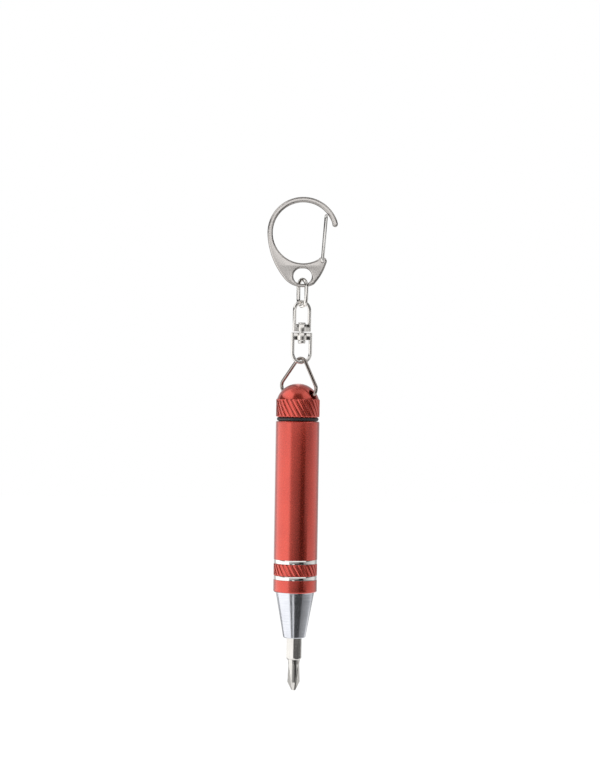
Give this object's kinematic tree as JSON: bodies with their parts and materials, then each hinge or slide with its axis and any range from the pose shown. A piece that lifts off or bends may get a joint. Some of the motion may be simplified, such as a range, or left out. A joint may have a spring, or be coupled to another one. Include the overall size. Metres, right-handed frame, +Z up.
{
  "type": "pocket screwdriver",
  "caption": "Key-ring screwdriver: a red tube that stores spare hex bits under a screw cap, a tapered nose holding a cross-point bit, hung on a swivel chain and snap hook.",
  "frame": {"origin": "centre of the snap hook's round opening, midway through the hook's thickness", "axes": "+Z up along the hanging chain, with the bit pointing to -Z; +X towards the hook's gate; the hook's flat front faces -Y"},
  "size_m": [0.0193, 0.012, 0.1357],
  "materials": {
    "satin_nickel": "satin nickel plate",
    "bright_wire": "bright plated spring wire",
    "red_anodised": "glossy red anodising",
    "black_rubber": "moulded, matt",
    "turned_aluminium": "fine-turned, bare",
    "plated_magnet": "nickel plate",
    "tool_steel": "ground tool steel"
  },
  "bodies": {
    "hook": {"hook_body": "satin_nickel"},
    "gate": {"hook_gate": "bright_wire"},
    "link": {"oval_link": "satin_nickel"},
    "upper_loop": {"swivel_upper_loop": "satin_nickel"},
    "lower_loop": {"swivel_lower_loop": "satin_nickel", "swivel_rivet": "bright_wire"},
    "triangle": {"triangle_ring": "bright_wire"},
    "cap": {"end_cap": "red_anodised"},
    "seal": {"cap_o_ring": "black_rubber"},
    "handle": {"barrel": "red_anodised", "nose_cone": "turned_aluminium", "bit_magnet": "plated_magnet"},
    "driver_bit": {"driver_bit": "tool_steel"},
    "slotted_bit": {"slotted_bit": "tool_steel"},
    "small_cross_bit": {"small_cross_bit": "tool_steel"},
    "hex_key_bit": {"hex_key_bit": "tool_steel"}
  },
  "joints": [
    {"name": "gate_hinge", "type": "hinge", "parent": "hook", "child": "gate", "pos_m": [0.00537, 0, -0.00781], "axis": [0, -1, 0], "range_deg": [0, 32], "stiffness_Nm_per_rad": 0.002, "springref_deg": -1.15},
    {"name": "link_swing", "type": "hinge", "parent": "hook", "child": "link", "pos_m": [0, 0, -0.01284], "axis": [0, 1, 0], "range_deg": [-35, 35]},
    {"name": "swivel_swing", "type": "hinge", "parent": "link", "child": "upper_loop", "pos_m": [0, 0, -0.01897], "axis": [0.8192, 0.5736, 0], "range_deg": [-40, 40]},
    {"name": "swivel_turn", "type": "hinge", "parent": "upper_loop", "child": "lower_loop", "pos_m": [0, 0, -0.02732], "axis": [0, 0, 1], "continuous": true},
    {"name": "triangle_swing", "type": "hinge", "parent": "lower_loop", "child": "triangle", "pos_m": [0.00004, -0.00003, -0.03456], "axis": [0.7771, -0.6293, 0], "range_deg": [-30, 20]},
    {"name": "cap_swing", "type": "hinge", "parent": "triangle", "child": "cap", "pos_m": [-0.0007, 0.00057, -0.04442], "axis": [0.7771, -0.6293, 0], "range_deg": [-75, 75]},
    {"name": "unscrew", "type": "hinge", "parent": "cap", "child": "seal", "pos_m": [-0.0007, 0.00057, -0.05127], "axis": [0, 0, -1], "range_deg": [0, 1990]},
    {"name": "unscrew_advance", "type": "slide", "parent": "seal", "child": "handle", "axis": [0, 0, -1], "range_m": [0, 0.0055]},
    {"name": "bit_pull", "type": "slide", "parent": "handle", "child": "driver_bit", "axis": [0, 0, -1], "range_m": [0, 0.0155]},
    {"name": "slotted_bit_lift", "type": "slide", "parent": "handle", "child": "slotted_bit", "axis": [0, 0, 1], "range_m": [0, 0.0052]},
    {"name": "small_cross_bit_lift", "type": "slide", "parent": "handle", "child": "small_cross_bit", "axis": [0, 0, 1], "range_m": [0, 0.0052]},
    {"name": "hex_key_bit_lift", "type": "slide", "parent": "handle", "child": "hex_key_bit", "axis": [0, 0, 1], "range_m": [0, 0.0052]}
  ],
  "couplings": [
    {"joint": "unscrew", "follows": "unscrew_advance", "rad_per_m": 6283.1}
  ]
}
